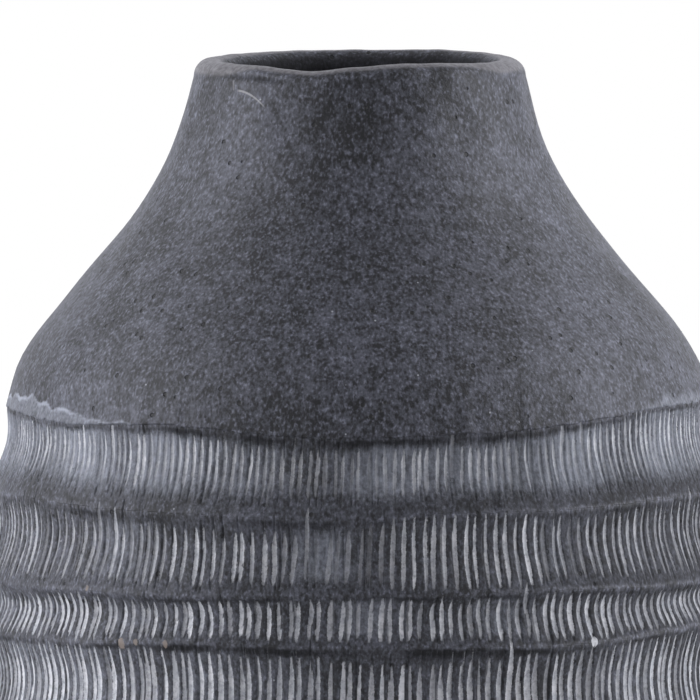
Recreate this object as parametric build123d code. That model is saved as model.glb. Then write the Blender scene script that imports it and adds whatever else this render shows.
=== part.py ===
"""A coil-built stoneware vase: one STEP file for each piece of clay that the potter joins.

Frame: +Z up, origin on the axis in the plane that the foot ring stands on, millimetres.

The pot is a surface of revolution. Its smooth outline, the form, is a chain of tangent spans:
lower belly, upper belly, shoulder bend, shoulder cone and neck bend. All are arcs but the cone.
The combed coils touch the form at their crests and are hollowed into shallow flutes between them.
The inside is the form moved in by the wall's thickness, and the glaze lining follows the inside.
Neighbouring pieces meet on a shared cone that rises inward, a bevelled butt joint luted with slip.
"""

from build123d import *
from math import asin, atan2, cos, radians, sin, sqrt, tan
import os

# Driving dimensions
wall = 8.5                # crest of a coil to the inside of the pot
foot_height = 5.0
foot_radius = 68.0        # outside of the foot ring
foot_width = 9.0
foot_edge_round = 1.2
slab_thickness = 8.0
slab_edge_drop = 1.0      # the pot's floor down to the slab's joint on the outside
belly_radius = 125.0
belly_height = 112.0      # height of the widest place
edge_inset = 12.7         # the last combed crest lies this far inside the widest place
shoulder_bend_radius = 65.0
shoulder_straight = 36.0  # length of the cone between the shoulder bend and the neck bend
neck_radius = 54.5        # outside, at the joint under the lip
neck_lean = 14.0          # degrees from upright, at the same joint
lip_thickness = 11.0
crest_land = 1.6          # height of the upright strip along each crest
joint_angle = 12.0        # degrees by which a joint rises inward
glaze_thickness = 0.6
glaze_gap = 0.05          # hairline between the lining and the wall
glaze_line_drop = 30.0    # top of the lip down to the lining's upper edge

# Heights of the coils on the outside, from the foot up, and how deep each combed one is hollowed
plain_coil_height = 12.0
combed_coil_heights = [14.0, 15.5, 17.5, 21.0, 24.5, 36.0, 15.5, 25.0, 27.5]
flute_depths = [1.6, 1.8, 2.0, 2.2, 2.6, 3.8, 2.6, 2.5, 2.2]
shoulder_coil_heights = [26.0, 24.0, 22.0]
neck_coil_height = 24.0
lip_coil_height = 13.5

# Heights and radii that follow from them
floor_height = foot_height + slab_thickness
slab_joint = floor_height - slab_edge_drop
crests = [slab_joint + plain_coil_height]
for coil_height in combed_coil_heights:
    crests.append(crests[-1] + coil_height)
edge_height = crests[-1]
edge_radius = belly_radius - edge_inset
shoulder_joints = []
for coil_height in shoulder_coil_heights:
    shoulder_joints.append((shoulder_joints or [edge_height])[-1] + coil_height)
lip_joint = shoulder_joints[-1] + neck_coil_height
top = lip_joint + lip_coil_height
beyond = 2 * belly_radius  # a radius well outside the pot, for regions that cut right through it


def point(r, z):
    """A point of the pot's section, which lies in the XZ plane."""
    return Vector(r, 0, z)


def facing(lean):
    """The outward direction of a surface that leans in by this angle."""
    return point(cos(lean), sin(lean))


def belly_arc_radius(height, width):
    """Radius of the arc that is upright at the widest place and has this height and width."""
    return (height**2 + width**2) / (2 * width)


# The belly's two arcs meet upright at the widest place, and the upper one ends at the edge, where
# the combing stops. The shoulder bend leaves the edge along it, the cone follows, and the neck bend
# ends at the joint under the lip. Its radius and the cone's lean are those that keep them tangent.
lower_radius = belly_arc_radius(belly_height - foot_height, belly_radius - foot_radius)
upper_radius = belly_arc_radius(edge_height - belly_height, edge_inset)
lower_centre = point(belly_radius - lower_radius, belly_height)
upper_centre = point(belly_radius - upper_radius, belly_height)
foot_lean = -asin((belly_height - foot_height) / lower_radius)
edge_lean = asin((edge_height - belly_height) / upper_radius)
neck_end_lean = radians(neck_lean)
edge = point(edge_radius, edge_height)
lip_seat = point(neck_radius, lip_joint)
shoulder_centre = edge - facing(edge_lean) * shoulder_bend_radius
reach = lip_seat - shoulder_centre
neck_bend_radius = (reach.dot(reach) - shoulder_straight**2 - shoulder_bend_radius**2) / (
    2 * (shoulder_bend_radius - reach.dot(facing(neck_end_lean)))
)
neck_centre = lip_seat + facing(neck_end_lean) * neck_bend_radius
between = neck_centre - shoulder_centre
both_radii = shoulder_bend_radius + neck_bend_radius
cone_lean = atan2(between.Z, between.X) - atan2(shoulder_straight, both_radii)


def arc_span(centre, radius, start, end):
    """An arc from one lean to another as (point, lean) at its start, middle and end.

    The radius is negative where the pot's wall is hollow and the centre lies outside it.
    """
    return [(centre + facing(a) * radius, a) for a in (start, (start + end) / 2, end)]


lower_belly = arc_span(lower_centre, lower_radius, foot_lean, 0)
upper_belly = arc_span(upper_centre, upper_radius, 0, edge_lean)
shoulder_bend = arc_span(shoulder_centre, shoulder_bend_radius, edge_lean, cone_lean)
neck_bend = arc_span(neck_centre, -neck_bend_radius, cone_lean, neck_end_lean)
shoulder_cone = [shoulder_bend[-1], neck_bend[0]]
shoulder_spans = [shoulder_bend, shoulder_cone, neck_bend]


def span_edge(span, inset=0):
    """A span as an arc, or as a line if it has two points, moved into the wall by inset."""
    places = [p - facing(lean) * inset for p, lean in span]
    return Line(*places) if len(places) == 2 else ThreePointArc(*places)


def belly_point(z):
    """The form's point at height z, between the foot and the edge."""
    centre, radius = (lower_centre, lower_radius) if z < belly_height else (upper_centre, upper_radius)
    return point(centre.X + sqrt(radius**2 - (z - belly_height) ** 2), z)


def shoulder_point(z):
    """The form's point at height z, between the edge and the lip."""
    level = Edge.make_line(point(0, z), point(beyond, z))
    crossings = [level.find_intersection_points(span_edge(span)) for span in shoulder_spans]
    return max((p for found in crossings for p in found), key=lambda p: p.X)


def polygon(*corners):
    """A flat face with straight sides."""
    return make_face(Wire([Line(a, b) for a, b in zip(corners, corners[1:] + corners[:1])]))


def flute(low, high, depth):
    """The hollow face between two crests: a concave arc between two short upright lands."""
    half_land = point(0, crest_land / 2)
    start = low + half_land
    end = high - half_land
    chord = end - start
    square_in = point(-chord.Z, chord.X).normalized()
    deepest = (start + end) / 2 + square_in * depth
    return [Line(low, start), ThreePointArc(start, deepest, end), Line(end, high)]


def lip_edges():
    """The rolled lip: outer face, half-round crest, and inner bead down to the neck's inside."""
    half = lip_thickness / 2
    crown = top - half
    outer = point(neck_radius - (crown - lip_joint) * tan(neck_end_lean), crown)
    inner = point(outer.X - lip_thickness, crown)
    bead_foot = lip_seat - facing(neck_end_lean) * wall
    crest = ThreePointArc(outer, point(outer.X - half, top), inner)
    return [Line(lip_seat, outer), crest, Line(inner, bead_foot)]


def inside_path(inset):
    """The form moved in by inset, from the pot's floor to the neck's joint.

    An inset of the wall's thickness is the clay's inside. With more, the floor rises as much.
    """
    floor = floor_height + inset - wall
    radius = lower_radius - inset
    start_lean = -asin((belly_height - floor) / radius)
    floor_bend = ThreePointArc([p for p, lean in arc_span(lower_centre, radius, start_lean, 0)])
    return [floor_bend] + [span_edge(span, inset) for span in [upper_belly] + shoulder_spans]


def pot_section():
    """Half the section of the clay body above the foot ring."""
    under_edge = point(foot_radius, foot_height)
    plain_middle = belly_point((foot_height + crests[0]) / 2)
    outside = [ThreePointArc(under_edge, plain_middle, belly_point(crests[0]))]
    for low, high, depth in zip(crests, crests[1:], flute_depths):
        outside += flute(belly_point(low), belly_point(high), depth)
    outside += [span_edge(span) for span in shoulder_spans]
    inside = inside_path(wall)
    underside = Line(point(0, foot_height), under_edge)
    floor = Line(inside[0] @ 0, point(0, floor_height))
    axis = Line(point(0, floor_height), point(0, foot_height))
    return make_face(Wire([underside] + outside + lip_edges() + inside + [floor, axis]))


def under_joint(seam):
    """Everything below the cone that starts at this outside point, as a flat region."""
    rise = tan(radians(joint_angle))
    outer_end = point(beyond, seam.Z - (beyond - seam.X) * rise)
    inner_end = point(0, seam.Z + seam.X * rise)
    return polygon(point(0, -beyond), point(beyond, -beyond), outer_end, inner_end)


def turn(section):
    """A solid of revolution from a face in the XZ plane."""
    return revolve(section, Axis.Z, 360)


def clay_pieces():
    """The clay body cut at its joints, as (name, solid) from the slab to the lip."""
    names = ["base_slab", "plain_coil"]
    names += [f"combed_coil_{i + 1}" for i in range(len(combed_coil_heights))]
    names += [f"shoulder_coil_{i + 1}" for i in range(len(shoulder_coil_heights))]
    names += ["neck_coil", "lip_coil"]
    seams = [belly_point(z) for z in [slab_joint] + crests]
    seams += [shoulder_point(z) for z in shoulder_joints] + [lip_seat]
    rest = pot_section()
    for name, seam in zip(names, seams):
        below = under_joint(seam)
        yield name, turn(rest & below)
        rest = rest - below
    yield names[-1], turn(rest)


def foot_ring():
    """The ring that the pot stands on, luted under the slab, with its standing edges softened."""
    upright = (Align.CENTER, Align.CENTER, Align.MIN)
    ring = Cylinder(foot_radius, foot_height, align=upright)
    ring -= Cylinder(foot_radius - foot_width, foot_height, align=upright)
    return fillet(ring.edges().group_by(Axis.Z)[0], foot_edge_round)


def glaze_lining():
    """The fired coat inside: floor, belly, shoulder and neck up to the glaze line."""
    outer = inside_path(wall + glaze_gap)
    inner = inside_path(wall + glaze_gap + glaze_thickness)
    outer_floor = outer[0] @ 0
    inner_floor = inner[0] @ 0
    outer_middle = point(0, outer_floor.Z)
    inner_middle = point(0, inner_floor.Z)
    ends = [Line(outer_middle, outer_floor), Line(outer[-1] @ 1, inner[-1] @ 1)]
    ends += [Line(inner_floor, inner_middle), Line(inner_middle, outer_middle)]
    glaze_line = top - glaze_line_drop
    level = [point(beyond, glaze_line), point(0, glaze_line)]
    below = polygon(point(0, 0), point(beyond, 0), *level)
    return turn(make_face(Wire(outer + inner + ends)) & below)


def main():
    os.makedirs("parts", exist_ok=True)
    pieces = dict(clay_pieces())
    pieces["foot_ring"] = foot_ring()
    pieces["glaze_lining"] = glaze_lining()
    for name, solid in pieces.items():
        export_step(solid, f"parts/{name}.step")


main()
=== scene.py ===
"""A coil-built stoneware vase with a smooth near-black shoulder and a combed, pale-washed belly.

The sections follow the pot as it is built: the foot ring, the floor with its first coil, the combed
coils, the smooth shoulder with its rolled lip, and the liner glaze. The table, the lights and the
camera come last. Lengths are in metres and angles run from the pot's front, towards +X.
"""

import bmesh
import bpy
import numpy as np
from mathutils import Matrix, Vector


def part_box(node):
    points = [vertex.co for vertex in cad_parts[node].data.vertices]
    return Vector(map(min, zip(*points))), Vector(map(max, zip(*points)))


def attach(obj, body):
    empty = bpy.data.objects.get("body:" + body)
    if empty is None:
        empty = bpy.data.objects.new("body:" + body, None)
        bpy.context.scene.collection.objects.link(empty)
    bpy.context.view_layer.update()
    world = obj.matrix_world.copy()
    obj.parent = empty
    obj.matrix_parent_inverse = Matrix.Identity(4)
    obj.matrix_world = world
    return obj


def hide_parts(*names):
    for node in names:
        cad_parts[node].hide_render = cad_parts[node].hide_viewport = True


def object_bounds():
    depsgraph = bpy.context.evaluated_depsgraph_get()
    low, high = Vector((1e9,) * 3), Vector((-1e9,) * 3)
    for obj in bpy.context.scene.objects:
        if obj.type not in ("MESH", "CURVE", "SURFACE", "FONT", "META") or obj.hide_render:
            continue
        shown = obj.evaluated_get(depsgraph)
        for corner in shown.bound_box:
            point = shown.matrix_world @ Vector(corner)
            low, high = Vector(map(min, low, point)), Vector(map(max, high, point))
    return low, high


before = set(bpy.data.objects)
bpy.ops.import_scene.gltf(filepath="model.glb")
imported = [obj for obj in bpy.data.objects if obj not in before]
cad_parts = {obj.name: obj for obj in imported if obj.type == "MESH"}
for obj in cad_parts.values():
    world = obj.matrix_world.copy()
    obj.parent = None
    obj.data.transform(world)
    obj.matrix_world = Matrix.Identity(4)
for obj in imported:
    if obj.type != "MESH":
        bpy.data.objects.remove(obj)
cad_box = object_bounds()
full_turn = 2 * np.pi


# ---- The foot ring ----
# A thick ring of clay that the pot stands on, luted under the floor with slip. It is left bare so
# that it doesn't stick in the kiln: tan stoneware with iron specks, its standing edges sponged round.

def turned_skin(name, radius, height, closed=True):
    """A piece made round the pot's axis from grids of radius and height.

    Row i, column j lies at that radius and height, turned j steps from the front towards +X.
    Where rows run up the outside, faces point outward. A closed skin's last row meets its first.
    """
    rows, columns = radius.shape
    turn = np.arange(columns) * full_turn / columns
    points = np.stack([radius * np.sin(turn), -radius * np.cos(turn), height], axis=-1)
    row = np.arange(rows if closed else rows - 1)[:, None]
    column = np.arange(columns)[None, :]
    above = (row + 1) % rows
    beside = (column + 1) % columns
    here, over = row * columns, above * columns
    corners = np.stack([here + column, here + beside, over + beside, over + column], axis=-1)
    mesh = bpy.data.meshes.new(name)
    mesh.vertices.add(rows * columns)
    mesh.vertices.foreach_set("co", points.astype(np.float32).ravel())
    mesh.loops.add(corners.size)
    mesh.loops.foreach_set("vertex_index", corners.astype(np.int32).ravel())
    mesh.polygons.add(corners.size // 4)
    mesh.polygons.foreach_set("loop_start", np.arange(0, corners.size, 4, dtype=np.int32))
    mesh.update(calc_edges=True)
    mesh.shade_smooth()
    piece = bpy.data.objects.new(name, mesh)
    bpy.context.scene.collection.objects.link(piece)
    return piece


def close_poles(piece):
    """Merges each row that has shrunk to a point on the axis, which closes the skin there."""
    work = bmesh.new()
    work.from_mesh(piece.data)
    bmesh.ops.remove_doubles(work, verts=work.verts, dist=1e-6)
    work.to_mesh(piece.data)
    work.free()


def arc(centre_r, centre_z, radius, start, end, count):
    """Points (r, z) of a section's arc, from one angle to another, in degrees up from outward."""
    angle = np.radians(np.linspace(start, end, count))
    return np.stack([centre_r + radius * np.cos(angle), centre_z + radius * np.sin(angle)], axis=-1)


def node(tree, kind, sockets=None, **settings):
    """Adds a shader node. Its sockets each take a number, a colour or another node's output."""
    new = tree.nodes.new("ShaderNode" + kind)
    for key, value in settings.items():
        setattr(new, key, value)
    for key, value in (sockets or {}).items():
        if isinstance(value, bpy.types.NodeSocket):
            tree.links.new(value, new.inputs[key])
        else:
            new.inputs[key].default_value = value
    return new


def finish(name):
    """A new material as (material, its node tree, its shader)."""
    material = bpy.data.materials.new(name)
    material.use_nodes = True
    tree = material.node_tree
    return material, tree, tree.nodes["Principled BSDF"]


def place(tree):
    """The place on the pot, in metres."""
    return node(tree, "TexCoord").outputs["Object"]


def grain(tree, size, detail=2.0, rough=0.5, at=None):
    """Cloudy noise from 0 to 1 whose lumps are about size across."""
    sockets = {"Vector": at or place(tree), "Scale": 1 / size, "Detail": detail, "Roughness": rough}
    return node(tree, "TexNoise", sockets).outputs["Fac"]


def spread(tree, value, low, high, to_low=0.0, to_high=1.0):
    """Maps low..high smoothly to to_low..to_high, and holds the ends beyond."""
    sockets = {"Value": value, "From Min": low, "From Max": high, "To Min": to_low, "To Max": to_high}
    return node(tree, "MapRange", sockets, interpolation_type="SMOOTHSTEP").outputs["Result"]


def fade_out(tree, value, low, high, full=1.0):
    """A full share below low that falls smoothly to 0 at high."""
    return spread(tree, value, low, high, full, 0)


def times(tree, a, b):
    """The product of two numbers."""
    return node(tree, "Math", {0: a, 1: b}, operation="MULTIPLY").outputs[0]


def plus(tree, *terms):
    """The sum of some numbers."""
    total = terms[0]
    for term in terms[1:]:
        total = node(tree, "Math", {0: total, 1: term}, operation="ADD").outputs[0]
    return total


def own(tree, name):
    """The piece's own attribute of that name, which is 0 on pieces that don't have it."""
    return node(tree, "Attribute", attribute_name=name).outputs["Fac"]


def give(piece, name, values):
    """Puts a number on each of a piece's points."""
    attribute = piece.data.attributes.new(name, "FLOAT", "POINT")
    attribute.data.foreach_set("value", values.astype(np.float32).ravel())


def blend(tree, share, a, b):
    """Colour a turning into colour b as share goes from 0 to 1."""
    mix = node(tree, "Mix", {0: share}, data_type="RGBA")
    for socket, colour in ((mix.inputs[6], a), (mix.inputs[7], b)):
        if isinstance(colour, bpy.types.NodeSocket):
            tree.links.new(colour, socket)
        else:
            socket.default_value = (*colour, 1)
    return mix.outputs[2]


def dots(tree, spacing, size, share):
    """Round dots, as 1 in a dot and 0 elsewhere, in a share of the cells that spacing sets."""
    cells = node(tree, "TexVoronoi", {"Vector": place(tree), "Scale": 1 / spacing}, distance="EUCLIDEAN")
    near = spread(tree, cells.outputs["Distance"], size / spacing, 0.6 * size / spacing)
    draw = node(tree, "SeparateColor", {"Color": cells.outputs["Color"]}).outputs["Red"]
    chosen = node(tree, "Math", {0: draw, 1: share}, operation="LESS_THAN").outputs[0]
    return times(tree, near, chosen)


def bump(tree, shader, height, depth):
    """Puts a height from 0 to 1 on the surface as bumps that are depth tall."""
    sockets = {"Height": height, "Distance": depth, "Strength": 1.0}
    tree.links.new(node(tree, "Bump", sockets).outputs["Normal"], shader.inputs["Normal"])


tan, pale_tan = (0.33, 0.235, 0.155), (0.42, 0.31, 0.21)
rust, iron_black = (0.2, 0.13, 0.08), (0.06, 0.035, 0.02)


def bare_clay(tree):
    """The colour of unglazed stoneware: tan in cloudy patches, rusty grains and iron specks."""
    body = blend(tree, spread(tree, grain(tree, 0.012, 3), 0.35, 0.65), tan, pale_tan)
    fine = blend(tree, spread(tree, grain(tree, 0.0007, 3), 0.55, 0.8, 0, 0.5), body, rust)
    return blend(tree, dots(tree, 0.005, 0.00045, 0.5), fine, iron_black)


bare, tree, shader = finish("bare_clay")
tree.links.new(bare_clay(tree), shader.inputs["Base Color"])
shader.inputs["Roughness"].default_value = 0.85
bump(tree, shader, grain(tree, 0.0008, 4, 0.6), 0.0002)

ring_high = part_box("foot_ring")[1]
ring_outer = ring_high.x
ring_width = 0.009
ring_inner = ring_outer - ring_width
standing_round = 0.0014
luted_round = 0.0004
inside_cad = 0.0003  # the skin's mean lies this far inside the CAD surface, so that its waves stay in
ring_section = np.concatenate([
    arc(ring_outer - standing_round, standing_round, standing_round, -90, 0, 7),
    arc(ring_outer - luted_round, ring_high.z - luted_round, luted_round, 0, 90, 4),
    arc(ring_inner + luted_round, ring_high.z - luted_round, luted_round, 90, 180, 4),
    arc(ring_inner + standing_round, standing_round, standing_round, 180, 270, 7),
])
ring_turn = np.arange(360) * full_turn / 360
ring_sway = 0.0002 * np.cos(3 * ring_turn + 1) + 0.00012 * np.cos(8 * ring_turn)
ring_radius = ring_section[:, :1] - inside_cad + ring_sway
ring_height = np.repeat(ring_section[:, 1:], len(ring_turn), axis=1)
foot_ring = turned_skin("foot_ring", ring_radius, ring_height)
foot_ring.data.materials.append(bare)
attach(foot_ring, "root")
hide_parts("foot_ring")


# ---- The floor and its first coil ----
# A slab beaten out flat, with the first coil scored and luted on its edge and scraped smooth into it.
# The black slip stops in an uneven line just above the foot ring, and the clay under it is bare.

rng = np.random.default_rng(7)
columns = 2240
turn = np.arange(columns) * full_turn / columns


def waves(counts, size):
    """A closed wavy line round the pot: one wave for each count of crests, with random starts."""
    starts = rng.uniform(0, full_turn, len(counts))
    crests = sum(np.cos(count * turn + start) for count, start in zip(counts, starts))
    return size / np.sqrt(len(counts)) * crests


def drift(marks, rounding=4.0):
    """A closed line through marks of (degrees from the front, value), rounded off at the marks.

    The rounding is a Gaussian blur of that many degrees, done on the line's harmonics.
    """
    degrees, values = zip(*marks)
    line = np.interp(np.degrees(turn), degrees, values, period=360)
    harmonics = np.fft.rfft(line)
    fade = np.exp(-0.5 * (np.arange(len(harmonics)) * np.radians(rounding)) ** 2)
    return np.fft.irfft(harmonics * fade, columns)


def smooth(x):
    """An S-shaped step from 0 to 1."""
    x = np.clip(x, 0, 1)
    return x * x * (3 - 2 * x)


def drawn_out(tree, share):
    """The place with its height shrunk to a share, which draws a pattern out upright."""
    upright = {0: place(tree), 1: (1, 1, share)}
    return node(tree, "VectorMath", upright, operation="MULTIPLY").outputs["Vector"]


def pinholes(tree):
    """The pinholes that gas leaves in the slip, as 1 in a hole."""
    return dots(tree, 0.0065, 0.00095, 0.8)


slip_grey, slip_blue = (0.0355, 0.0365, 0.0455), (0.037, 0.0388, 0.0475)
# The pale greys over the lip's top are partly worn slip and partly a painted highlight.
worn_and_lit_grey, worn_and_lit_pale = (0.085, 0.08, 0.082), (0.17, 0.165, 0.17)
# The first near-black here is painted shade, laid under crests, inside the mouth and in the crease.
shade_black, pit_black, speck_grey = (0.006, 0.006, 0.007), (0.003, 0.003, 0.003), (0.3, 0.31, 0.33)


def slip_colour(tree):
    """Near-black matte slip: blue-grey flecks, cloudy patches, dark pinholes and rare pale specks.

    Its brightness is the tint times a sum of noises, 4.2 coarse + 4.2 fine + 2.6 patch + 2.6 cloud
    - 5.8, which is about 1, and more where a fine grain peaks. It never falls under 0.08. Where the
    lip's rub attribute is 1 it is pale over an edge, partly slip worn thin and partly a painted
    highlight, and where shade is 1 it is near-black, mostly painted shade.
    """
    upright = drawn_out(tree, 0.68)
    coarse = grain(tree, 0.0017, 2, 0.6, upright)
    fine = grain(tree, 0.0009, 1, 0.5, upright)
    patch = grain(tree, 0.006, 2, 0.6)
    cloud = grain(tree, 0.03, 2)
    flecks = spread(tree, fine, 0.58, 0.74, 0, 1.3)
    swing = plus(tree, times(tree, coarse, 4.2), times(tree, fine, 4.2), times(tree, patch, 2.6),
                 times(tree, cloud, 2.6), -5.8, flecks)
    strength = node(tree, "Math", {0: swing, 1: 0.08}, operation="MAXIMUM").outputs[0]
    tint = blend(tree, spread(tree, coarse, 0.4, 0.65), slip_grey, slip_blue)
    slip = node(tree, "VectorMath", {0: tint, "Scale": strength}, operation="SCALE").outputs["Vector"]
    specked = blend(tree, dots(tree, 0.0045, 0.0004, 0.08), slip, speck_grey)
    pitted = blend(tree, pinholes(tree), specked, pit_black)
    worn_and_lit = blend(tree, spread(tree, grain(tree, 0.0015, 3), 0.3, 0.7), worn_and_lit_grey, worn_and_lit_pale)
    rubbed = blend(tree, own(tree, "rub_and_highlight"), pitted, worn_and_lit)
    return blend(tree, own(tree, "shade"), rubbed, shade_black)


def slip_height(tree):
    """The slip's surface from 0 to 1: a fine dry grain with pinholes."""
    return plus(tree, grain(tree, 0.0012, 3, 0.7), times(tree, pinholes(tree), -2.0))


def sheen(tree, shader):
    """A dull sheen, and duller still where shade is painted into the slip."""
    shader.inputs["Specular IOR Level"].default_value = 0.5
    tree.links.new(spread(tree, own(tree, "shade"), 0, 1, 0.58, 0.98), shader.inputs["Roughness"])


def washed(tree, ground):
    """Pale wash left in a film over a colour, as the attribute film says, in upright streaks."""
    streaks = times(tree, grain(tree, 0.0012, 2, 0.6, drawn_out(tree, 0.15)), 0.55)
    spots = times(tree, grain(tree, 0.0011, 3, 0.7), 0.45)
    cover = spread(tree, plus(tree, own(tree, "film"), streaks, spots), 0.6, 1.5, 0, 0.75)
    film_grey = (0.36, 0.385, 0.435)
    return blend(tree, cover, ground, film_grey)


def size_of(tree, value):
    """A number without its sign."""
    return node(tree, "Math", {0: value}, operation="ABSOLUTE").outputs[0]


def neck_scratch(tree, x, y, z):
    """A scratch on the front left of the neck's outside, as the share of slip that it took off.

    It runs 8.5 mm to the right and falls by 4.5 mm times the square of its way, so it steepens. A
    fainter upright nick stands over its start.
    """
    outside = fade_out(tree, y, -0.034, -0.032)
    way = times(tree, plus(tree, x, 0.0388), 1 / 0.0085)
    above = plus(tree, z, times(tree, times(tree, way, way), 0.0045), -0.3219)
    curve = times(tree, fade_out(tree, size_of(tree, above), 0.0002, 0.00045), outside)
    curve = times(tree, curve, times(tree, spread(tree, way, 0, 0.1), fade_out(tree, way, 0.85, 1.1)))
    beside = size_of(tree, plus(tree, x, 0.0399))
    nick = times(tree, fade_out(tree, beside, 0.0001, 0.00035, 0.45), outside)
    nick_ends = times(tree, spread(tree, z, 0.3216, 0.3222), fade_out(tree, z, 0.3246, 0.3254))
    return times(tree, plus(tree, curve, times(tree, nick, nick_ends)), 0.5)


dark_slip, tree, shader = finish("dark_slip")
x, y, z = node(tree, "SeparateXYZ", {"Vector": place(tree)}).outputs
scratched_clay = (0.4, 0.39, 0.38)
coated = blend(tree, neck_scratch(tree, x, y, z), washed(tree, slip_colour(tree)), scratched_clay)
slip_line = plus(tree, z, times(tree, grain(tree, 0.02, 3), 0.006))
dipped = blend(tree, spread(tree, slip_line, 0.0085, 0.0095), bare_clay(tree), coated)
tree.links.new(dipped, shader.inputs["Base Color"])
sheen(tree, shader)
bump(tree, shader, slip_height(tree), 0.00025)

wall = 0.0085
joint_rise = np.tan(np.radians(12))  # a joint between coils rises inward by 12 degrees
coil_names = ["plain_coil"] + [f"combed_coil_{i}" for i in range(1, 10)] + ["shoulder_coil_1"]
coil_boxes = [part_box(name) for name in coil_names]
belly_middle = 0.112
lower_arc_radius = 0.12893
crest_heights = [high_box[0].z for high_box in coil_boxes[1:]]
crest_radii = [min(low[1].x, high[1].x) for low, high in zip(coil_boxes, coil_boxes[1:])]
floor_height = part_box("glaze_lining")[0].z


def joint_inside(crest_radius, crest_height, lean_cosine=1.0):
    """Where the joint that starts at a crest comes out on the inside of the wall."""
    inside = crest_radius - wall / lean_cosine
    return inside, crest_height + (crest_radius - inside) * joint_rise


lower_start = np.degrees(np.arcsin((ring_high.z - belly_middle) / lower_arc_radius))
lower_centre = cad_box[1].x - lower_arc_radius
first_lean = np.arcsin((crest_heights[0] - belly_middle) / lower_arc_radius)
base_outside = arc(lower_centre, belly_middle, lower_arc_radius, lower_start, np.degrees(first_lean), 14)
inner_height = joint_inside(crest_radii[0], crest_heights[0], np.cos(first_lean))[1]
floor_lean = np.arcsin((floor_height - belly_middle) / (lower_arc_radius - wall))
inner_lean = np.arcsin((inner_height - belly_middle) / (lower_arc_radius - wall))
base_inside = arc(lower_centre, belly_middle, lower_arc_radius - wall, np.degrees(inner_lean),
                  np.degrees(floor_lean), 6)
underside = np.stack([np.linspace(0, ring_outer, 8)[:-1], np.full(7, ring_high.z)], axis=-1)
floor_top = np.stack([np.linspace(base_inside[-1, 0], 0, 6)[1:], np.full(5, floor_height)], axis=-1)
base_section = np.concatenate([underside, base_outside, base_inside, floor_top])
base_columns = turn[::8]
base_radius = np.repeat(base_section[:, :1], len(base_columns), axis=1)
base_height = np.repeat(base_section[:, 1:], len(base_columns), axis=1)
base_wall = turned_skin("base_wall", base_radius, base_height, closed=False)
close_poles(base_wall)
base_wall.data.materials.append(dark_slip)
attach(base_wall, "root")
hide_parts("base_slab", "plain_coil")


# ---- The combed coils ----
# Nine coils pressed hollow between their crests, combed through the black slip with a stiff comb,
# then rubbed with pale wash and wiped: it stays in the strokes and hollows, and the crests are dark.

combed, tree, shader = finish("combed_slip")
ragged = times(tree, plus(tree, grain(tree, 0.0009, 2, 0.7), -0.5), 0.7)
stroke = spread(tree, plus(tree, own(tree, "stroke"), ragged), -0.08, 0.12)
chalk = spread(tree, grain(tree, 0.0014, 3, 0.7), 0.25, 0.6, 0.5, 1.0)
inlay_grey, inlay_pale = (0.43, 0.44, 0.46), (0.58, 0.58, 0.59)
inlay = blend(tree, spread(tree, grain(tree, 0.004, 2), 0.35, 0.65), inlay_grey, inlay_pale)
filled = times(tree, times(tree, stroke, own(tree, "level")), chalk)
combed_colour = blend(tree, filled, washed(tree, slip_colour(tree)), inlay)
knocked = spread(tree, plus(tree, own(tree, "chip"), times(tree, ragged, 2)), 0.3, 0.8)
chips = plus(tree, times(tree, dots(tree, 0.02, 0.0017, 0.35), own(tree, "crest")), knocked)
chip_brown, chip_tan = (0.13, 0.11, 0.095), (0.23, 0.185, 0.15)
chip_clay = blend(tree, grain(tree, 0.0012, 2), chip_brown, chip_tan)
tree.links.new(blend(tree, chips, combed_colour, chip_clay), shader.inputs["Base Color"])
sheen(tree, shader)
bump(tree, shader, slip_height(tree), 0.00018)

# How far each crest wanders up or down. The top four have marks by angle from the front, in degrees.
crest_drifts = [waves([1, 2, 3, 5, 9], 0.0006) for _ in crest_heights]
crest_drifts[-1] += drift([
    (-87, 0), (-54, -0.002), (-30, -0.0006), (-2, -0.0031), (27, -0.0018), (45, 0.0002), (57, 0.0032),
    (90, 0.0028), (150, 0), (220, 0.0005),
])
crest_drifts[-2] += drift([
    (-60, 0.0005), (0, -0.0005), (35, 0.001), (60, 0.002), (120, 0.0005), (200, -0.001),
])
crest_drifts[-3] += drift([
    (-60, -0.002), (0, 0.0007), (40, 0.0012), (62, 0.0008), (130, 0), (200, -0.0015),
])
crest_drifts[-4] += drift([
    (-68, -0.002), (-34, 0), (37, 0), (62, 0.0025), (130, 0.001), (200, -0.001),
])
crest_drifts = [drifted + waves([29, 43, 71, 103, 140], 0.00022) for drifted in crest_drifts]
crest_sways = [waves([2, 3, 4, 7, 11, 17], 0.00025) + waves([37, 59, 97], 0.0001) for _ in crest_heights]
for line in (crest_drifts[-1], crest_sways[-1]):
    line[1::2] = (line[::2] + np.roll(line[::2], -1)) / 2  # the shoulder's skin has every other column
crest_lines = [height + drifted for height, drifted in zip(crest_heights, crest_drifts)]
crest_edges = [radius + sway - inside_cad for radius, sway in zip(crest_radii, crest_sways)]

# Each coil from the foot up: its hollow's depth, its strokes' pitch and width, how far they fade
# towards their foot, and how much painted shade lies under its upper crest.
coil_depths = [0.0016, 0.0018, 0.0020, 0.0022, 0.0026, 0.0038, 0.0026, 0.0025, 0.0022]
stroke_pitches = [0.0034, 0.0034, 0.0034, 0.0035, 0.0035, 0.0033, 0.0033, 0.0036, 0.0030]
stroke_widths = [0.0015, 0.0015, 0.0015, 0.0015, 0.0016, 0.0018, 0.00155, 0.00145, 0.00125]
stroke_tails = [0.1, 0.1, 0.1, 0.1, 0.1, 0.1, 0.1, 0.25, 0.7]
under_crest = [0.4, 0.4, 0.4, 0.4, 0.5, 0.95, 0.65, 0.6, 0.8]

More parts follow.
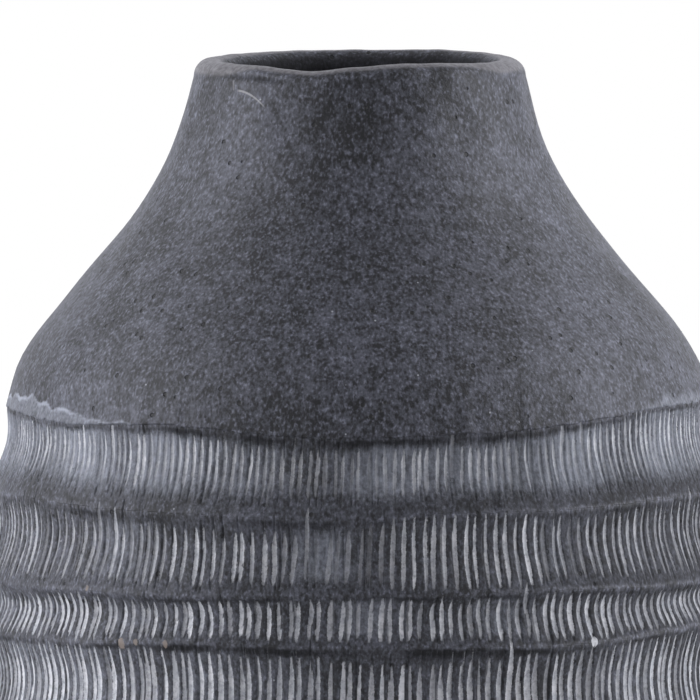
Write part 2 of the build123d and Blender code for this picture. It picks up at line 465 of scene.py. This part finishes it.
# The gaps that the strokes leave under the upper crest and over the lower one.
top_gaps = [np.full(columns, gap) for gap in (0.002, 0.002, 0.0025, 0.0025, 0.003)] + [
    drift([(-90, 0.0005), (-45, 0.0005), (-30, 0.0022), (-6, 0.003), (0, 0.0055), (12, 0.0045), (25, 0.002),
           (50, 0.0008), (90, 0.001), (200, 0.002)], 1.5),
    drift([(-90, 0.001), (0, 0.0012), (22, 0.001), (26, 0.003), (31, 0.001), (90, 0.001)], 1.2),
    drift([(-90, 0.001), (-60, 0.001), (-45, 0.0022), (-30, 0.004), (-3, 0.0042), (5, -0.0006),
           (24, -0.0002), (40, 0.0022), (62, 0.001), (100, 0.003), (200, 0.0035)], 1.5),
    drift([(-90, 0.001), (-72, 0.0004), (-46, 0.0006), (-36, 0.0028), (-10, 0.0036), (20, 0.003),
           (40, 0.0016), (50, 0.0004), (80, 0.0004), (120, 0.002), (200, 0.0025)]),
]
foot_gaps = [np.full(columns, gap) for gap in (0.001, 0.001, 0.001, 0.0015, 0.0015, 0.0015)] + [
    drift([(-90, 0.0001), (-40, 0.0003), (-20, 0.0012), (20, 0.0016), (45, 0.0004), (90, 0.0005)], 2),
    drift([(-90, 0.0025), (-40, 0.003), (0, 0.0025), (5, 0.001), (26, 0.001), (32, 0.003),
           (200, 0.003)], 1.5),
    drift([(-90, 0.0075), (-40, 0.0065), (0, 0.0055), (40, 0.0065), (200, 0.007)]),
]

# How full of wash the strokes are, and how much film is left between them, by angle.
even = [(-180, 0.85), (0, 0.85)]
stroke_levels = [even] * 5 + [
    [(-75, 0.87), (-14, 0.97), (-8, 0.6), (-3, 0.68), (4, 0.97), (30, 0.8), (60, 0.75), (120, 0.8),
     (180, 0.85)],
    [(-75, 0.9), (-14, 0.95), (-7, 0.62), (-2, 0.66), (3, 0.88), (21, 0.78), (25, 0.42), (30, 0.76),
     (62, 0.7), (120, 0.8), (180, 0.9)],
    [(-72, 0.7), (-42, 0.6), (-33, 0.8), (-13, 0.85), (-9, 0.35), (3, 0.3), (6, 1.0), (28, 1.0), (32, 0.5),
     (40, 0.6), (62, 0.55), (120, 0.85), (180, 0.8)],
    [(-72, 0.8), (-55, 0.9), (-14, 0.78), (-8, 0.52), (4, 0.55), (8, 0.9), (24, 0.9), (30, 0.62), (45, 0.75),
     (62, 0.8), (120, 0.7), (180, 0.7)],
]
film_levels = [[(-180, 0.2), (0, 0.2)]] * 5 + [
    [(-75, 0.4), (-40, 0.22), (0, 0.1), (40, 0.1), (62, 0.15), (180, 0.2)],
    [(-75, 0.26), (-40, 0.14), (-8, 0.15), (2, 0.2), (8, 0.06), (24, 0.2), (45, 0.1), (62, 0.15), (180, 0.2)],
    [(-72, 0.1), (-50, 0.3), (-36, 0.3), (-30, 0.1), (-13, 0.1), (-5, 0.3), (4, 0.25), (8, 0.08), (28, 0.1),
     (33, 0.25), (60, 0.1), (120, 0.25), (180, 0.3)],
    [(-72, 0.5), (-50, 0.42), (-28, 0.44), (-18, 0.42), (-5, 0.44), (5, 0.4), (24, 0.42), (32, 0.46),
     (50, 0.4), (62, 0.38), (100, 0.35), (180, 0.35)],
]

# All round, by angle: how much darker the slip is painted in the bands, most to the right, how much
# painted shade lies under the crests, most at the front, and the film that is left on the crests.
band_shade = drift([
    (-80, 0.15), (-45, 0.25), (0, 0.35), (40, 0.5), (75, 0.55), (120, 0.4), (180, 0.3),
], 6)
crest_dark = drift([
    (-80, 0.2), (-55, 0.35), (-30, 0.75), (-10, 1), (20, 1), (45, 0.6), (70, 0.3), (180, 0.6),
], 6)
crest_film = drift([
    (-75, 0), (-50, 0), (-30, 0.14), (0, 0.16), (30, 0.14), (60, 0.05), (120, 0.1), (200, 0.05),
], 6)
belly_edge = cad_box[1].x


def stroke_table(coil, faint=False):
    """The strokes of one coil, as arrays with an entry for each stroke.

    The strokes stand a pitch apart, give or take, and start and stop a ragged gap from the crests.
    One in twenty is drawn on over the upper crest. The faint ones are the thin, barely filled lines
    of the comb's first pass, from crest to crest.
    """
    count = int(full_turn * belly_edge / stroke_pitches[coil])
    comb = np.random.default_rng(count)  # coils with one pitch are combed in one go, so strokes run on
    angle = (np.arange(count) + comb.normal(0, 0.3 if faint else 0.11, count)) * full_turn / count
    column = np.round(angle / full_turn * columns).astype(int) % columns
    crossing = rng.random(count) < 0.05
    if faint:
        top_gap = rng.uniform(-0.001, 0.001, count)
        foot_gap = 0.5 * foot_gaps[coil][column]
    else:
        top_gap = top_gaps[coil][column] + waves([5, 9, 14], 0.0005)[column]
        foot_gap = foot_gaps[coil][column]
    top_gap = top_gap + 0.0007 * np.abs(rng.normal(0, 1, count))
    top_gap -= np.where(crossing, top_gap + rng.uniform(0.001, 0.004, count), 0)
    foot_gap = foot_gap + 0.0007 * np.abs(rng.normal(0, 1, count))
    strength = drift(stroke_levels[coil], 1.2)[column] * np.clip(rng.normal(0.9, 0.27, count), 0.1, 1.15)
    thin = 0.45 if faint else 1
    return {
        "count": count,
        "angle": angle,
        "top": crest_lines[coil + 1][column] - top_gap,
        "foot": crest_lines[coil][column] + foot_gap,
        "slant": waves([3, 5, 8], 0.0007)[column] + rng.normal(0, 0.00025, count),
        "bow": rng.normal(0, 0.00018, count),
        "sway": rng.normal(0, 0.0001, count) + np.where(crossing, rng.normal(0, 0.0003, count), 0),
        "width": stroke_widths[coil] * np.clip(rng.normal(1, 0.13, count), 0.6, 1.4) * thin,
        "tail": np.clip(rng.normal(stroke_tails[coil], 0.2, count), 0, 1),
        "level": strength * (rng.uniform(-0.9, 0.5, count).clip(0) if faint else 1),
    }


def comb_marks(table, radius, height):
    """What a coil's strokes leave on a grid of heights, as (depth, level, groove).

    The depth is how far inside the nearest stroke's edge a point lies, in millimetres, and less
    than 0 outside it. The level is that stroke's own, fading towards its ends. A stroke's centre
    line slants, bows and sways as it goes down: slant times the share of the way down less a half,
    plus bow times a parabola, plus sway times one full sine. The stroke tapers at both ends. The
    groove is 1 along its centre and falls off with the square of the way to 0.7 of its width.
    """
    depth = np.full_like(height, -1.0)
    level = np.zeros_like(height)
    groove = np.zeros_like(height)
    nearest = np.floor(turn / full_turn * table["count"]).astype(int)
    for step in range(-2, 4):
        i = (nearest + step) % table["count"]
        gap = (turn - table["angle"][i] + np.pi) % full_turn - np.pi
        along = (table["top"][i] - height) / (table["top"][i] - table["foot"][i])
        centre = table["slant"][i] * (along - 0.5) + table["bow"][i] * (1 - (2 * along - 1) ** 2)
        centre += table["sway"][i] * np.sin(full_turn * along)
        aside = np.abs(gap * radius - centre)
        taper = (0.4 + 0.6 * smooth(along / 0.3)) * (0.5 + 0.5 * smooth((1 - along) / 0.22))
        half = table["width"][i] / 2 * taper
        ends = np.minimum(table["top"][i] - height, height - table["foot"][i])
        within = 1000 * np.minimum(half - aside, 0.6 * ends)
        fade = (1 - table["tail"][i] * smooth((along - 0.35) / 0.65)) * smooth(ends / 0.0022 + 0.35)
        level = np.where(within > depth, table["level"][i] * fade, level)
        depth = np.maximum(depth, within)
        bottom = np.clip(1 - (aside / (1.4 * half)) ** 2, 0, 1)
        groove = np.maximum(groove, bottom * smooth(ends / 0.0012 + 0.3))
    return depth, level, groove


def spot(height, crest, degrees, above, size):
    """How far inside an upright oval spot by a crest each point lies, in millimetres.

    It is the size less the distance from the spot's middle, with 1.3 times the way round the pot.
    """
    gap = (turn - np.radians(degrees) + np.pi) % full_turn - np.pi
    away = np.hypot(1.3 * gap * crest_radii[crest], height - crest_lines[crest] - above)
    return 1000 * (size - away)


# Chips knocked off the crests down to the clay, and one drop of wash. Each is given as its crest,
# counted from 0 at the foot, its angle in degrees, how far above the crest it lies and its radius.
chip_places = [
    (6, -37.6, -0.0005, 0.0018), (6, -35, 0, 0.001), (6, -29.8, -0.0004, 0.0012), (7, -45, 0.001, 0.0009),
    (6, 131, 0, 0.0014), (4, -112, 0.0005, 0.0016), (8, 158, 0, 0.0012), (3, 24, 0, 0.0013),
]
drop_place = (6, 36.8, 0.0004, 0.0016)

tables = [(stroke_table(coil), stroke_table(coil, faint=True)) for coil in range(9)]
groove_depth = 0.0004
crest_half = 0.0015  # the painted shade dies away over this much on either side of a crest
for coil in range(9):
    # The hollow is a sine that is deepest a little above the middle. Rows crowd towards the crests.
    rows = 38 if coil > 4 else 22
    share = np.linspace(0, 1, rows)
    share = (share - 0.1 * np.sin(full_turn * share))[:, None]
    low, high = crest_lines[coil], crest_lines[coil + 1]
    height = low + (high - low) * share
    hollow = np.sin(np.pi * share ** 1.25) ** 1.25
    radius = crest_edges[coil] + (crest_edges[coil + 1] - crest_edges[coil]) * share
    radius -= coil_depths[coil] * hollow

    # The strokes of this coil, and those of its neighbours that run on into it.
    depth = np.full_like(height, -1.0)
    level = np.zeros_like(height)
    grooves = [np.zeros_like(height), np.zeros_like(height)]
    for pair in tables[max(coil - 1, 0):coil + 2]:
        for kind, table in enumerate(pair):
            its_depth, its_level, its_groove = comb_marks(table, crest_radii[coil], height)
            level = np.where(its_depth > depth, its_level, level)
            depth = np.maximum(depth, its_depth)
            grooves[kind] = np.maximum(grooves[kind], its_groove)
    drop = spot(height, *drop_place)
    level = np.where(drop > depth, 0.85, level)
    depth = np.maximum(depth, drop)
    chipped = np.clip(np.max([spot(height, *chip) for chip in chip_places], axis=0) + 0.5, 0, 1)
    radius = radius - groove_depth * np.maximum(*grooves)

    # The film lies in the hollow and a little on the crests. The slip is painted near-black under the
    # upper crest, as shade, and dark in the faint lines, and is left lighter on the crests.
    over_foot = (height - low) / (foot_gaps[coil] + 0.004)
    under_top = (high - height) / (top_gaps[coil] + 0.002)
    rubbed = drift(film_levels[coil], 2.0) + waves([4, 7, 12, 20], 0.12)
    film = np.maximum(rubbed * smooth(over_foot) * smooth(under_top), crest_film)
    off_crest = smooth((high - height) / crest_half) * smooth((height - low) / crest_half)
    # Painted shade under the upper crest, strongest at the front of the pot.
    below_crest = 1 - smooth((high - height - crest_half) / (top_gaps[coil] + 0.001))
    below_crest = below_crest * np.clip(crest_dark + waves([7, 12, 19, 28], 0.45), 0, 1.15)
    shade = np.maximum(off_crest * np.maximum(band_shade, under_crest[coil] * below_crest), 0.65 * grooves[1])

    # Two more rows close the coil along its joints and the inside of the wall.
    inner_low, joint_low = joint_inside(crest_edges[coil], low)
    inner_high, joint_high = joint_inside(crest_edges[coil + 1], high)
    radius = np.concatenate([radius, [inner_high], [inner_low]])
    height = np.concatenate([height, [joint_high], [joint_low]])
    band = turned_skin(f"combed_coil_{coil + 1}_skin", radius, height)
    inside_rows = np.zeros((2, columns))
    give(band, "stroke", np.concatenate([depth, inside_rows - 1]))
    on_crest = np.exp(-((height[:rows] - low) / 0.0012) ** 2)
    marks = {"level": level, "film": film, "shade": shade, "chip": chipped, "crest": on_crest}
    for name, values in marks.items():
        give(band, name, np.concatenate([values, inside_rows]))
    band.data.materials.append(combed)
    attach(band, "root")
    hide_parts(f"combed_coil_{coil + 1}")


# ---- The smooth shoulder, the neck and the lip ----
# Three shoulder coils and a neck coil scraped to one skin, and a last coil rolled over the mouth by
# hand, so that its edge dips and swells. All of it has one coat of matte black slip.

# The shoulder's form as it is in CAD, with leans from upright in degrees.
lip_low, lip_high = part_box("lip_coil")
lip_half = 0.0055
edge_lean, cone_lean, neck_lean = 13.35, 39.99, 14.0
bend_radius, cone_length, neck_bend_radius = 0.065, 0.036, 0.10395


def facing(lean):
    """The outward direction (r, z) of a surface that leans in by this many degrees."""
    return np.array([np.cos(np.radians(lean)), np.sin(np.radians(lean))])


edge_point = np.array([crest_radii[-1], crest_heights[-1]])
bend_centre = edge_point - bend_radius * facing(edge_lean)
bend_end = bend_centre + bend_radius * facing(cone_lean)
cone_end = bend_end + cone_length * facing(cone_lean + 90)
neck_centre = cone_end + neck_bend_radius * facing(cone_lean)
lip_seat = np.array([lip_high.x, lip_low.z])
crown = lip_high.z - lip_half
lip_outer = lip_seat[0] - (crown - lip_seat[1]) * np.tan(np.radians(neck_lean))
shoulder_line = np.concatenate([
    arc(*bend_centre, bend_radius, edge_lean, cone_lean, 60),
    arc(*neck_centre, neck_bend_radius, cone_lean + 180, neck_lean + 180, 60),
])
lip_line = arc(lip_outer - lip_half, crown, lip_half, 0, 180, 60)
bend_inside = arc(*neck_centre, neck_bend_radius + wall, neck_lean + 180, cone_lean + 180, 30)
shoulder_inside = arc(*bend_centre, bend_radius - wall, cone_lean, edge_lean, 30)


def even_steps(path, count):
    """Points at equal steps along a path of (r, z)."""
    steps = np.hypot(*np.diff(path, axis=0).T)
    run = np.concatenate([[0], np.cumsum(steps)])
    at = np.linspace(0, run[-1], count)
    return np.stack([np.interp(at, run, path[:, 0]), np.interp(at, run, path[:, 1])], axis=-1)


# Rows up the outside lie close together where the wash laps over the edge, wider on the bare
# shoulder and neck, and close again round the lip. A few more run down the inside.
close_rows = even_steps(shoulder_line, 180)[:12]
wider_rows = even_steps(shoulder_line, 240)[16::9]
lip_rows = even_steps(np.concatenate([shoulder_line[-1:], lip_line]), 40)[1:]
inner_rows = even_steps(np.concatenate([lip_line[-1:], bend_inside, shoulder_inside]), 9)[1:]
section = np.concatenate([close_rows, wider_rows, lip_rows, inner_rows])
row_radius, row_height = section[:, :1], section[:, 1:]
shell_step = 2
shell_turn = turn[::shell_step]
shell_radius = np.repeat(row_radius, len(shell_turn), axis=1)
shell_height = np.repeat(row_height, len(shell_turn), axis=1)

# The lip's own dips and swells die away down the neck, and the drift of the coil's edge dies away
# up the first eighth of the shoulder. Between them the skin sways and has shallow dents.
dips_from, dips_over = 0.300, 0.022
lip_share = smooth((row_height - dips_from) / dips_over)
lip_dip = drift([
    (-150, 0), (-90, -0.0002), (-41, -0.0003), (-23, -0.0015), (-17, -0.0017), (-7, -0.0005), (3, 0.0002),
    (17, 0.0009), (34, 0.0008), (49, 0.0002), (90, 0), (131, 0.0004), (146, 0.0006), (170, 0),
], 3)[::shell_step]
rise = (row_height - edge_point[1]) / (lip_high.z - edge_point[1])
edge_share = 1 - smooth(rise / 0.12)
shell_height += lip_share * (lip_dip + waves([13, 19, 31], 0.00006)[::shell_step])
shell_height += edge_share * crest_drifts[-1][::shell_step]
sway = (1 - edge_share) * waves([2, 3, 5], 0.0004)[::shell_step]
shell_radius += sway + edge_share * crest_sways[-1][::shell_step]
dents = np.zeros_like(shell_radius)
for _ in range(14):
    around, up_down = rng.integers(4, 26), rng.uniform(-260, 260)
    dents += np.cos(around * shell_turn + up_down * row_height + rng.uniform(0, full_turn))
shell_radius += 0.00005 * dents * (1 - edge_share)

# Here and there a finger has left a crease under the roll.
crease_height, crease_half = 0.3262, 0.0011
crease = drift([
    (-80, 0), (-60, 0.0004), (-45, 0.0005), (-30, 0.0006), (-22, 0), (40, 0), (47, 0.0005), (58, 0),
])
below_lip = np.exp(-(((row_height - crease_height) / crease_half) ** 2)) * (row_radius > lip_outer - 0.001)
creased = crease[::shell_step] * below_lip
shell_radius -= creased
upper_shell = turned_skin("shoulder_and_lip", shell_radius, shell_height)

# Paler slip along the top of the roll, partly rubbed thin by hands and partly a painted highlight. It
# runs between two angles round the roll, 0 on its outer side and 180 on its inner one, and is widest at the
# sides of the pot.
row_turned = np.degrees(np.arctan2(row_height - crown, row_radius - (lip_outer - lip_half)))
on_lip = (row_height >= crown).astype(float)
wide = drift([
    (-180, 0.35), (-120, 0.8), (-85, 1), (-55, 0.9), (-42, 0.1), (44, 0.1), (58, 0.8), (90, 0.7), (130, 0.4),
], 3)[::shell_step]
highlight_start, highlight_end = 52 - 45 * wide, 98 + 35 * wide
rub_and_highlight = on_lip * smooth((row_turned - highlight_start) / 14) * smooth((highlight_end - row_turned) / 10) * 0.95
give(upper_shell, "rub_and_highlight", rub_and_highlight)

# Painted shade: the slip is painted near-black inside the mouth and in the crease, and a little darker at the
# front of the neck.
inner_side = on_lip * smooth((row_turned - 92 - 30 * wide) / 50)
inside_rows = np.arange(len(section))[:, None] >= len(section) - len(inner_rows) - 1
front_and_crease_shade = drift([(-28, 0), (-8, 0.1), (12, 0.14), (30, 0)], 5)[::shell_step]
front_and_crease_shade = front_and_crease_shade * smooth((shell_height - 0.24) / 0.03)
front_and_crease_shade = np.maximum(front_and_crease_shade, 1000 * creased)
give(upper_shell, "shade", np.maximum(0.85 * np.maximum(inner_side, inside_rows), front_and_crease_shade))

# Wash laps over the coil's edge by this much at each angle. It fades out upward, past a dried ridge.
wash_reach = drift([
    (-90, 0.003), (-70, 0.0065), (-52, 0.0035), (-46, 0.0006), (-41, 0.0014), (-36, 0.0002), (42, 0.0002),
    (52, 0.0035), (62, 0.006), (75, 0.005), (100, 0.0003),
], 1.5)
wash_reach = (wash_reach * (1 + waves([31, 47, 67], 0.15)))[::shell_step]
above_edge = shell_height - crest_lines[-1][::shell_step]
wash_fade = drift([(-90, 0.0004), (-30, 0.0004), (40, 0.004), (100, 0.004), (180, 0.001)])[::shell_step]
wash_here = smooth(wash_reach / 0.0012 - 0.25) * (row_radius > crest_radii[-1] - 0.004)
ridge = np.exp(-(((above_edge - 0.85 * wash_reach) / 0.0006) ** 2))
ridge = ridge * drift([(-90, 1), (-30, 1), (35, 0.1), (100, 0.1), (180, 0.6)])[::shell_step]
wash = 0.42 * smooth((wash_reach - above_edge) / wash_fade)
wash = wash + ridge * (0.35 + waves([23, 37, 53], 0.25)[::shell_step])
give(upper_shell, "film", wash_here * wash)
upper_shell.data.materials.append(dark_slip)
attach(upper_shell, "root")
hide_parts("shoulder_coil_1", "shoulder_coil_2", "shoulder_coil_3", "neck_coil", "lip_coil")


# ---- The liner glaze ----
# Glaze poured in, swilled round and poured out, so that the pot holds water. It follows the wall
# from the floor to a line below the lip, with the coils showing through as faint ridges.

liner, tree, shader = finish("liner_glaze")
glaze_black, glaze_grey = (0.02, 0.021, 0.024), (0.04, 0.041, 0.047)
clouds = spread(tree, grain(tree, 0.01, 3), 0.35, 0.7)
tree.links.new(blend(tree, clouds, glaze_black, glaze_grey), shader.inputs["Base Color"])
shader.inputs["Roughness"].default_value = 0.34
bump(tree, shader, grain(tree, 0.002, 2), 0.0001)

coat = 0.0006
hairline = 0.00005  # the gap between the glaze and the wall in CAD
glaze_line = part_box("glaze_lining")[1].z
upper_arc_radius = 0.46982
upper_centre = cad_box[1].x - upper_arc_radius


def lining_section(inset):
    """The inside of the wall as (r, z) from the floor to the glaze line, moved in by inset."""
    lower = lower_arc_radius - inset
    upper = upper_arc_radius - inset
    start = np.degrees(np.arcsin((floor_height + inset - wall - belly_middle) / lower))
    stop = np.degrees(np.arcsin((glaze_line - neck_centre[1]) / -(neck_bend_radius + inset)))
    return np.concatenate([
        arc(lower_centre, belly_middle, lower, start, 0, 24),
        arc(upper_centre, belly_middle, upper, 0, edge_lean, 24)[1:],
        arc(*bend_centre, bend_radius - inset, edge_lean, cone_lean, 10)[1:],
        arc(*neck_centre, neck_bend_radius + inset, cone_lean + 180, 180 + stop, 10),
    ])


against_wall = lining_section(wall + hairline)
in_view = lining_section(wall + hairline + coat)[::-1]
floor_under = np.array([[0, against_wall[0, 1]]])
floor_face = np.array([[0, in_view[-1, 1]]])
lining_profile = np.concatenate([floor_under, against_wall, in_view, floor_face])
liner_turn = turn[::5]
ridge_pitch = 0.011
ridges = 0.00012 * np.sin(lining_profile[:, 1:] * full_turn / ridge_pitch)
ridges[:len(against_wall) + 1] = 0
ridges[-2:] = 0
liner_radius = np.repeat(lining_profile[:, :1] - np.abs(ridges), len(liner_turn), axis=1)
liner_height = np.repeat(lining_profile[:, 1:], len(liner_turn), axis=1)
glaze_lining = turned_skin("liner_glaze", liner_radius, liner_height, closed=False)
close_poles(glaze_lining)
glaze_lining.data.materials.append(liner)
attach(glaze_lining, "root")
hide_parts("glaze_lining")


# ---- The table ----
# A pale matte disc under the pot that fades out at its rim into the white round it.

table_material, tree, shader = finish("pale_table")
shader.inputs["Base Color"].default_value = (0.82, 0.82, 0.82, 1)
shader.inputs["Roughness"].default_value = 0.9
away = node(tree, "VectorMath", {0: place(tree)}, operation="LENGTH").outputs["Value"]
tree.links.new(fade_out(tree, away, 0.5, 1.15), shader.inputs["Alpha"])
table_rings = np.repeat(np.array([[0.0], [0.3], [0.6], [0.9], [1.2]]), 96, axis=1)
table = turned_skin("table", table_rings[::-1], np.zeros_like(table_rings), closed=False)
close_poles(table)
table.data.materials.append(table_material)


# ---- Light and camera ----
# Two tall soft boxes stand either side of the pot, with a weak one in front, one overhead and a
# broad one behind that brightens the pot's outline. The camera looks from a long way off, a few
# degrees down, a little left of the axis.

world = bpy.data.worlds.new("studio")
bpy.context.scene.world = world
world.use_nodes = True
tree = world.node_tree
seen = node(tree, "LightPath").outputs["Is Camera Ray"]
dim_room, white_sweep = (0.09, 0.09, 0.095), (1, 1, 1)
tree.links.new(blend(tree, seen, dim_room, white_sweep), tree.nodes["Background"].inputs["Color"])


def soft_box(name, place_at, aim, width, height, power, tint):
    """A rectangular area light that faces a point."""
    lamp = bpy.data.lights.new(name, "AREA")
    lamp.shape = "RECTANGLE"
    lamp.size = width
    lamp.size_y = height
    lamp.energy = power
    lamp.color = tint
    box = bpy.data.objects.new(name, lamp)
    box.location = place_at
    box.rotation_euler = (Vector(aim) - Vector(place_at)).to_track_quat("-Z", "Y").to_euler()
    bpy.context.scene.collection.objects.link(box)


pot_middle = (0, 0, 0.2)
cool = (0.965, 0.98, 1.06)
soft_box("left_box", (-1.35, -0.1, 0.75), pot_middle, 1.7, 1.9, 35, cool)
soft_box("right_box", (1.35, -0.05, 0.75), pot_middle, 1.6, 1.9, 35.5, cool)
soft_box("front_box", (-0.3, -2.2, 1.1), pot_middle, 1.4, 1.2, 4.5, cool)
soft_box("top_box", (0, 0.5, 1.9), pot_middle, 1.0, 0.7, 2, cool)
soft_box("backdrop", (0, 2.4, 0.9), pot_middle, 4.5, 3.0, 58, cool)

elevation = np.radians(4.0)
distance = 8.0
seen_width = 0.22225
aim = Vector((-0.0031, 0, 0.2372))
camera_data = bpy.data.cameras.new("camera")
camera_data.sensor_width = 36
camera_data.lens = camera_data.sensor_width * distance / seen_width
camera_data.clip_end = 100
camera = bpy.data.objects.new("camera", camera_data)
camera.location = aim + distance * Vector((0, -np.cos(elevation), np.sin(elevation)))
camera.rotation_euler = (np.pi / 2 - elevation, 0, 0)
bpy.context.scene.collection.objects.link(camera)
bpy.context.scene.camera = camera
bpy.context.scene.view_settings.view_transform = "Standard"
